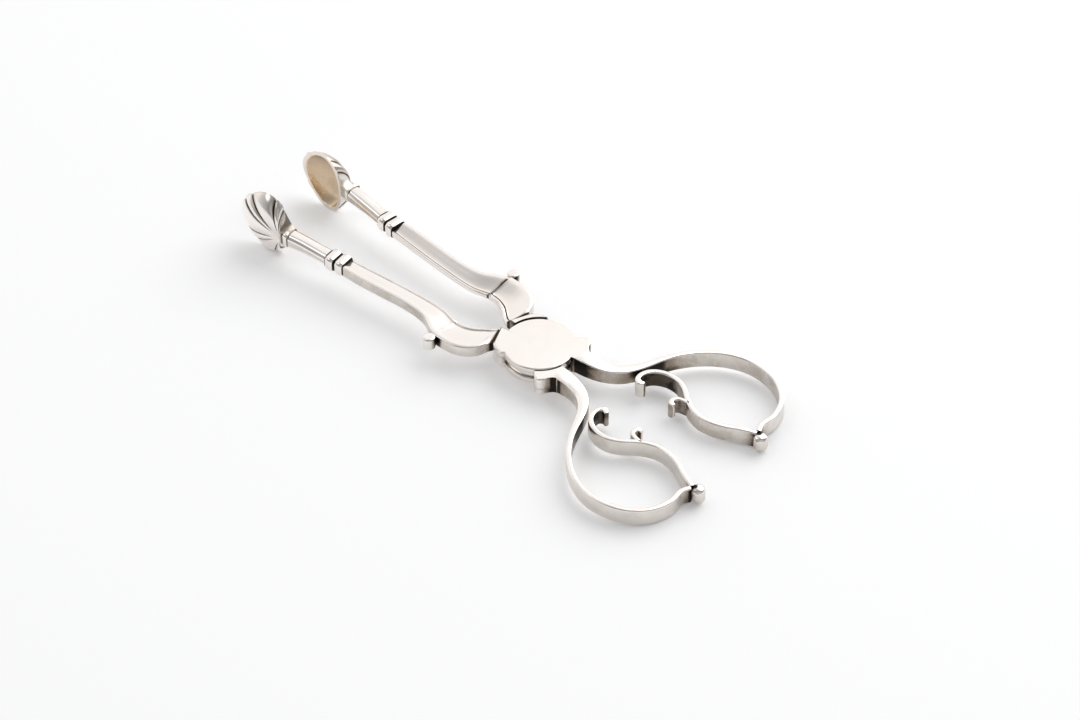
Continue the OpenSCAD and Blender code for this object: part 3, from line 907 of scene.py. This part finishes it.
def shell_rows(form, hollow, shade=0.0):
    """Rows of points from the hub over the rim, and for the hollow shell back to its floor.
    shade is painted shade on the upper part of its back."""
    m = (FLUTES + 1) * PER_FLUTE
    up = [max(0.0, sin(shell_angle(k))) for k in range(m)]
    rows = []
    for s in OUTER_STEPS:
        at_rim = s > RIM_FROM
        rows.append([form.add(placed(outer_point(s, k)),
                              0.12 if at_rim else max(groove_patina(k, s), shade * up[k]),
                              0.3 if at_rim else 0.0) for k in range(m)])
    for s in INNER_STEPS if hollow else []:
        gilding = min(1, 0.3 + (1.0 - s) / 0.06)
        # Painted shade: the gilt hollow is darker towards its upper part
        rows.append([form.add(placed(inner_point(s, k)),
                              0.12 if s > RIM_FROM else 0.25 + 0.6 * up[k] * s, gilding)
                     for k in range(m)])
    for a, b in zip(rows, rows[1:]):
        for j in range(m):
            k = (j + 1) % m
            form.faces.append((a[j], a[k], b[k], b[j]))
    tip = form.add(placed((HUB[0], HUB[1], -SHELL_LIFT)))
    end = placed((HOLLOW_HUB[0], HOLLOW_HUB[1], -SHELL_LIFT)) if hollow else placed((0, 0, 0))
    last = form.add(end, 0.25, 1.0 if hollow else 0.0)
    for j in range(m):
        k = (j + 1) % m
        form.faces.append((tip, rows[0][k], rows[0][j]))
        form.faces.append((last, rows[-1][j], rows[-1][k]))
    return form


# Handles. Points are [distance behind the pivot, distance out, width, height], closed, and
# where a width or a height is left out it is the strap's.
ROOT_H = JOINT_H - 0.02
STEM = [[7.2, 2.5, 1.1 * STEM_W, ROOT_H], [9.6, 2.2, 0.94 * STEM_W, ROOT_H],
        [12.2, 2.15, 0.85 * STEM_W, 1.1 * STEM_H], [14.8, 2.65, 0.75 * STEM_W, STEM_H],
        [16.9, 3.85, 0.66 * STEM_W, STEM_H], [18.5, 5.5, 0.57 * STEM_W, STEM_H],
        [19.9, 7.6, 1.55 * STRAP_T, 1.03 * STEM_H]]
LOOP = [[21.3, 10.0, 1.27 * STRAP_T, 0.95 * STRAP_H], [23.3, 12.9, 1.09 * STRAP_T],
        [26.3, 15.9], [30.3, 18.4], [34.8, 19.6], [39.2, 19.2], [43.4, 17.3], [46.4, 13.9],
        [47.4, 9.7], [46.8, 6.4], [47.3, 4.4]]
INNER = [[47.3, 3.8], [45.7, 3.4], [43.8, 2.8], [41.4, 1.9], [38.9, 1.35], [36.2, 1.4],
         [33.7, 2.3], [31.6, 3.9], [29.7, 5.8], [27.6, 7.1], [25.3, 7.5], [23.2, 7.1],
         [21.6, 6.1], [20.75, 4.7], [20.7, 3.3], [21.5, 2.5, 1.18 * STRAP_T],
         [22.4, 2.8, 0.82 * STRAP_T, 0.95 * STRAP_H]]
THUMB = [[32.5, 3.2, 0.73 * STRAP_T], [31.2, 3.2, 0.82 * STRAP_T], [30.1, 3.0, 0.82 * STRAP_T],
         [29.4, 2.3, 0.91 * STRAP_T], [29.5, 1.4, STRAP_T],
         [30.2, 1.1, 0.91 * STRAP_T, 0.95 * STRAP_H]]
HANDLE_SPANS = 8


def behind(points):
    out = []
    for s in points:
        w = s[2] if len(s) > 2 else STRAP_T - INSIDE
        h = s[3] if len(s) > 3 else STRAP_H
        out.append([-SCALE_BACK * s[0], -SCALE_OUT * s[1], w, h])
    return out


def stem_and_loop_form():
    """The first two stations would lie within the joint's blocks and are left off."""
    line = curve(behind(STEM + LOOP), HANDLE_SPANS)[2:]
    outer, inner = wall_patina(CORNER_STEPS, 1.0, 0.0), wall_patina(CORNER_STEPS, 0.0, 1.0)

    def patina(i, j):
        # Dark at the root, where the inner strap touches and against the knob
        x = -line[i][0] / SCALE_BACK
        root = 0.5 * hump(x, 9.2, 1.8) + 0.36 * hump(x, 9.0, 5.0)
        touch = 0.62 * hump(x, 20.8, 2.6)
        knob = 0.8 * hump(len(line) - 1 - i, 0, 7)
        late = clamp((i - 60) / 70)
        cast = outer(j) * (0.25 + root) + inner(j) * (0.40 - 0.16 * late + root + touch)
        return min(1, cast + (knob if cast else 0))
    return Form().loft(bar_rings(line, STRAP_EDGE), patina)


def inner_form():
    line = curve(behind(INNER), HANDLE_SPANS)
    left, right = wall_patina(CORNER_STEPS, 1.0, 0.0), wall_patina(CORNER_STEPS, 0.0, 1.0)
    last = len(line) - 1

    def patina(i, j):
        # Black inside the curl, dark against the knob, the thumb scroll and the stem
        if i > last:
            return 0.8
        x = -line[i][0] / SCALE_BACK
        knob = 0.7 * hump(i, 0, 7)
        curl = clamp((i - 62) / 14)
        thumb = 0.4 * hump(x, 31.0, 2.0)
        touch = 0.75 * hump(x, 20.6, 2.2) * min(clamp((i - 75) / 8), clamp((114 - i) / 6))
        return min(1, left(j) * (0.36 + knob + 0.6 * curl + thumb)
                   + right(j) * (0.27 + knob + touch))
    return Form().loft(bar_rings(line, STRAP_EDGE, end=0.3), patina)


def thumb_form():
    line = curve(behind(THUMB), HANDLE_SPANS)
    walls = wall_patina(CORNER_STEPS, 0.85, 0.8)
    return Form().loft(bar_rings(line, 0.25, end=0.25), lambda i, j: walls(j))


def knob_form():
    h = STRAP_H / 2 + KNOB_RISE
    low = h - 0.45
    e = 1.0
    crown = 0.3
    profile = [(0, -low), (crown, 0.01 - low), *quarter(KNOB_R, e, low, -75, 1, True),
               (KNOB_R - 0.02, 0.4), *quarter(KNOB_R, e, h, 0, 76, False),
               (crown, h - 0.01), (0, h)]

    def turn_from_straps(t):
        return abs((t + 210) % 360 - 180)

    def notch(t, z):
        # Slightly uneven by hand, and hollow where the two straps run in
        wave = 1 - 0.025 * (1 + sin(3 * t + 40)) - 0.02 * (1 + sin(5 * t + 200 * (z - MID_Z)))
        return wave - 0.2 * max(0, 1 - turn_from_straps(t) / 32)

    def patina(t, z):
        side = 0.32 if abs(z - MID_Z) < h - 0.6 else 0.0
        return max(side, clamp(2.0 - turn_from_straps(t) / 38))
    return Form().lathe(KNOB_AT, [(r, MID_Z + z) for r, z in profile], 64, patina, notch)


# Both halves. They differ in the joint, in where they are worn and tarnished, and in where shade
# and shadow are painted on them.
def build_half(tongue):
    side = "tongue" if tongue else "box"
    body = side + "_half"

    def put(name, form, *nodes, sharp=SHARP, flat=False):
        obj = make(f"{side}_{name}", form, tongue, sharp, flat)
        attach(obj, body)
        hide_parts(*[f"{side}_{n}" for n in nodes])
        return obj

    joint = tongue_joint_form() if tongue else box_joint_form()
    # lip is a painted shadow along the foot of the inner lip, inner the tarnish and painted shade
    # of the inner wall
    lip, inner = (1.0, 0.06) if tongue else (0.4, 0.3)
    ridge_scoops = (0.94, 0.78, 0.66) if tongue else (0.92, 0.88, 0.86)
    # Painted shadow of the ridge on the shaft, and painted shade on the upper back of the shell
    shaft_ridge_shadow = 1.0 if tongue else 0.2
    shell_shade = 0.5 if tongue else 0.08
    put("joint_block", joint, "joint", sharp=35, flat=True)
    put("shoulder", shoulder_form(ridge_scoops, lip, inner), "shoulder_scroll")
    put("shaft", shaft_form(shaft_ridge_shadow, lip, inner), "arm_shaft")
    put("roll", roll_form(), "shaft_roll")
    put("collar_beads", collar_form(), "collar")
    put("neck_bar", neck_form(), "neck")
    cuff = put("cuff_ring", cuff_form(), "cuff")
    web = put("cuff_web", web_form(), "cuff")
    lump = make("lump", shell_rows(Form(), False), tongue)
    apply_boolean(cuff, lump)
    apply_boolean(web, lump)
    drop(lump)
    put("fluted_shell", shell_rows(Form(), True, shell_shade), "shell", sharp=50)
    put("handle_bar", stem_and_loop_form(), "handle_stem", "finger_loop")
    put("inner_bar", inner_form(), "inner_scroll")
    put("thumb_bar", thumb_form(), "thumb_scroll")
    put("knob_barrel", knob_form(), "loop_knob")


for is_tongue in (False, True):
    build_half(is_tongue)

rivet = make("rivet_pin", rivet_form(), False)
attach(rivet, "box_half")
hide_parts("pivot_rivet")


# Camera. The joint's top middle falls on ORIGIN_PX of the frame.
FRAME_W = 1080
FRAME_H = 720
FOCAL_PX = 4000.0
AZIMUTH = -138.25
ELEVATION = 43.86
DISTANCE = 783.5
ORIGIN_PX = (539.2, 343.7)


def aim_camera():
    right = Vector((cos(AZIMUTH), sin(AZIMUTH), 0))
    forward = Vector((-sin(AZIMUTH) * cos(ELEVATION), cos(AZIMUTH) * cos(ELEVATION),
                      -sin(ELEVATION)))
    up = right.cross(forward)
    shift_x = (ORIGIN_PX[0] - FRAME_W / 2) / FOCAL_PX * DISTANCE
    shift_y = (ORIGIN_PX[1] - FRAME_H / 2) / FOCAL_PX * DISTANCE
    eye = Vector((0, 0, JOINT_H)) - right * shift_x + up * shift_y - forward * DISTANCE
    data = bpy.data.cameras.new("camera")
    data.sensor_width = 36.0
    data.lens = FOCAL_PX / FRAME_W * data.sensor_width
    data.clip_start, data.clip_end = 0.01, 20.0
    camera = bpy.data.objects.new("camera", data)
    camera.matrix_world = Matrix((
        (right.x, up.x, -forward.x, eye.x * MM),
        (right.y, up.y, -forward.y, eye.y * MM),
        (right.z, up.z, -forward.z, eye.z * MM),
        (0, 0, 0, 1)))
    bpy.context.scene.collection.objects.link(camera)
    bpy.context.scene.camera = camera


# Floor, lamps and world
# The nippers lie on their knobs and shell rims, so the table slopes down from the knobs
FLOOR_TILT = 2.37
FLOOR_X = -49.0
FLOOR_HALF_M = 6.0
FLOOR_COLOUR = (0.90, 0.905, 0.915, 1)
FLOOR_GLOW = 0.2
# Direction of the studio's bright side, and its greys from the far side round to it
BRIGHT_WAY = (0.75, -0.62, -0.25)
STUDIO_TONES = [(0.0, (0.52, 0.52, 0.52)), (0.12, (0.42, 0.42, 0.42)), (0.22, (0.24, 0.24, 0.24)),
                (0.38, (0.42, 0.42, 0.42)), (0.55, (0.54, 0.54, 0.54)), (0.64, (0.66, 0.66, 0.655)),
                (0.70, (0.90, 0.89, 0.88)), (0.74, (1.0, 0.99, 0.98))]


def floor_material():
    """White table with a slight glow that only the camera and reflections see."""
    mat = bpy.data.materials.new("white_table")
    mat.use_nodes = True
    tree = mat.node_tree
    tree.nodes.clear()
    out = node(tree, "ShaderNodeOutputMaterial")
    diffuse = node(tree, "ShaderNodeBsdfDiffuse")
    diffuse.inputs["Color"].default_value = FLOOR_COLOUR
    glow = node(tree, "ShaderNodeEmission")
    path = node(tree, "ShaderNodeLightPath")
    seen = plus(tree, path.outputs["Is Camera Ray"], path.outputs["Is Glossy Ray"], clamp=True)
    seen = plus(tree, seen, path.outputs["Is Transmission Ray"], clamp=True)
    tree.links.new(times(tree, seen, FLOOR_GLOW), glow.inputs["Strength"])
    both = node(tree, "ShaderNodeAddShader")
    tree.links.new(diffuse.outputs[0], both.inputs[0])
    tree.links.new(glow.outputs[0], both.inputs[1])
    tree.links.new(both.outputs[0], out.inputs["Surface"])
    return mat


def floor_piece():
    mesh = bpy.data.meshes.new("table")
    r = FLOOR_HALF_M
    slope = math.tan(math.radians(FLOOR_TILT))
    mesh.from_pydata([(x, y, -slope * (x - FLOOR_X * MM))
                      for x, y in ((-r, -r), (r, -r), (r, r), (-r, r))], [], [(0, 1, 2, 3)])
    obj = bpy.data.objects.new("table", mesh)
    mesh.materials.append(floor_material())
    bpy.context.scene.collection.objects.link(obj)


def lamp(name, at, size, watts):
    data = bpy.data.lights.new(name, "AREA")
    data.shape = "DISK"
    data.size = size
    data.energy = watts
    obj = bpy.data.objects.new(name, data)
    obj.location = at
    obj.rotation_mode = "QUATERNION"
    obj.rotation_quaternion = Vector(at).to_track_quat("Z", "Y")
    bpy.context.scene.collection.objects.link(obj)


def sky():
    """Studio by direction: white beyond the table, grey at the sides and darkest on the
    camera's own side. The camera itself sees plain white."""
    world = bpy.data.worlds.new("studio")
    bpy.context.scene.world = world
    world.use_nodes = True
    tree = world.node_tree
    tree.nodes.clear()
    out = node(tree, "ShaderNodeOutputWorld")
    direction = node(tree, "ShaderNodeTexCoord").outputs["Generated"]
    room = node(tree, "ShaderNodeVectorMath", operation="DOT_PRODUCT")
    tree.links.new(direction, room.inputs[0])
    room.inputs[1].default_value = BRIGHT_WAY
    near = plus(tree, 0.5, times(tree, room.outputs["Value"], 0.5))
    lit = node(tree, "ShaderNodeBackground")
    tree.links.new(colour_ramp(tree, near, STUDIO_TONES), lit.inputs["Color"])
    seen = node(tree, "ShaderNodeBackground")
    seen.inputs["Color"].default_value = (1, 1, 1, 1)
    path = node(tree, "ShaderNodeLightPath")
    mix = node(tree, "ShaderNodeMixShader")
    tree.links.new(path.outputs["Is Camera Ray"], mix.inputs[0])
    tree.links.new(lit.outputs[0], mix.inputs[1])
    tree.links.new(seen.outputs[0], mix.inputs[2])
    tree.links.new(mix.outputs[0], out.inputs["Surface"])


aim_camera()
floor_piece()
lamp("key", (-0.10, -0.75, 0.75), 1.2, 6.0)
lamp("side", (0.45, 0.33, 0.80), 0.5, 0.55)
sky()

view = bpy.context.scene.view_settings
view.view_transform = "Standard"
